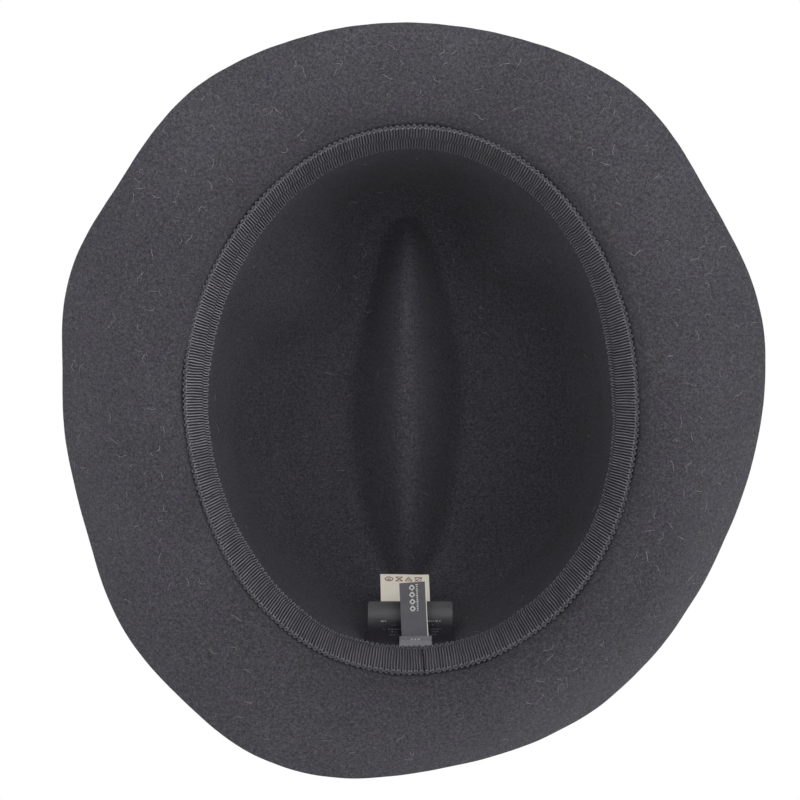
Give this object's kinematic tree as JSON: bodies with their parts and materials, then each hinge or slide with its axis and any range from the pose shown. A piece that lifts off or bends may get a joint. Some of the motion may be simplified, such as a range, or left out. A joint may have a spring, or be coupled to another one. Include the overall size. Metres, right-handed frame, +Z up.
{
  "type": "fedora hat",
  "caption": "Soft felt fedora: creased and pinched crown, curved raw-edge brim, ribbon sweatband, ribbon hatband with a flat side bow, and sewn-in labels that bend.",
  "frame": {"origin": "middle of the hat's outline, on the table it rests on, crown up", "axes": "+Z up through the crown, +Y towards the back of the hat, -Y towards the front of the brim, +X towards the wearer's left, where the bow is. The hat stands as it rests on a table, so the plane of the head opening leans about 3.7 degrees, front up."},
  "size_m": [0.2666, 0.28, 0.1196],
  "materials": {
    "felt": "blocked wool felt, matt, very fine nap",
    "petersham": "cross-ribbed petersham ribbon with a scalloped edge, dull sheen",
    "grosgrain": "cross-ribbed grosgrain ribbon, soft sheen",
    "thread": "spun sewing thread, matt",
    "label_woven": "damask woven label with a plain geometric border, no lettering",
    "label_satin": "black satin ribbon label, glossy weft",
    "label_white": "off-white printed satin tape with care symbols only",
    "label_tab": "grey woven size tab with one plain size letter"
  },
  "bodies": {
    "root": {"felt_body": "felt", "sweatband": "petersham", "sweatband_seam_thread": "thread", "sweatband_join_thread": "thread", "hatband": "grosgrain", "bow_tail": "grosgrain", "bow_loops": "grosgrain", "bow_knot": "grosgrain", "hatband_tack_front": "thread", "hatband_tack_back": "thread", "label_stitch_thread": "thread"},
    "care_label_flap": {"care_label": "label_white"},
    "satin_label_flap": {"satin_label": "label_satin"},
    "woven_label_flap": {"woven_label": "label_woven"},
    "size_tab_flap": {"size_tab": "label_tab"}
  },
  "joints": [
    {"name": "care_label_bend", "type": "hinge", "parent": "root", "child": "care_label_flap", "pos_m": [-0.00258, 0.09422, 0.03216], "axis": [1, 0, 0], "range_deg": [-5, 25]},
    {"name": "satin_label_bend", "type": "hinge", "parent": "care_label_flap", "child": "satin_label_flap", "pos_m": [-0.00108, 0.09352, 0.03221], "axis": [1, 0, 0], "range_deg": [-3, 30]},
    {"name": "woven_label_bend", "type": "hinge", "parent": "satin_label_flap", "child": "woven_label_flap", "pos_m": [0.00022, 0.09283, 0.03225], "axis": [1, 0, 0], "range_deg": [-8, 45]},
    {"name": "size_tab_bend", "type": "hinge", "parent": "woven_label_flap", "child": "size_tab_flap", "pos_m": [0.00092, 0.09193, 0.03231], "axis": [1, 0, 0], "range_deg": [-1, 10]}
  ]
}
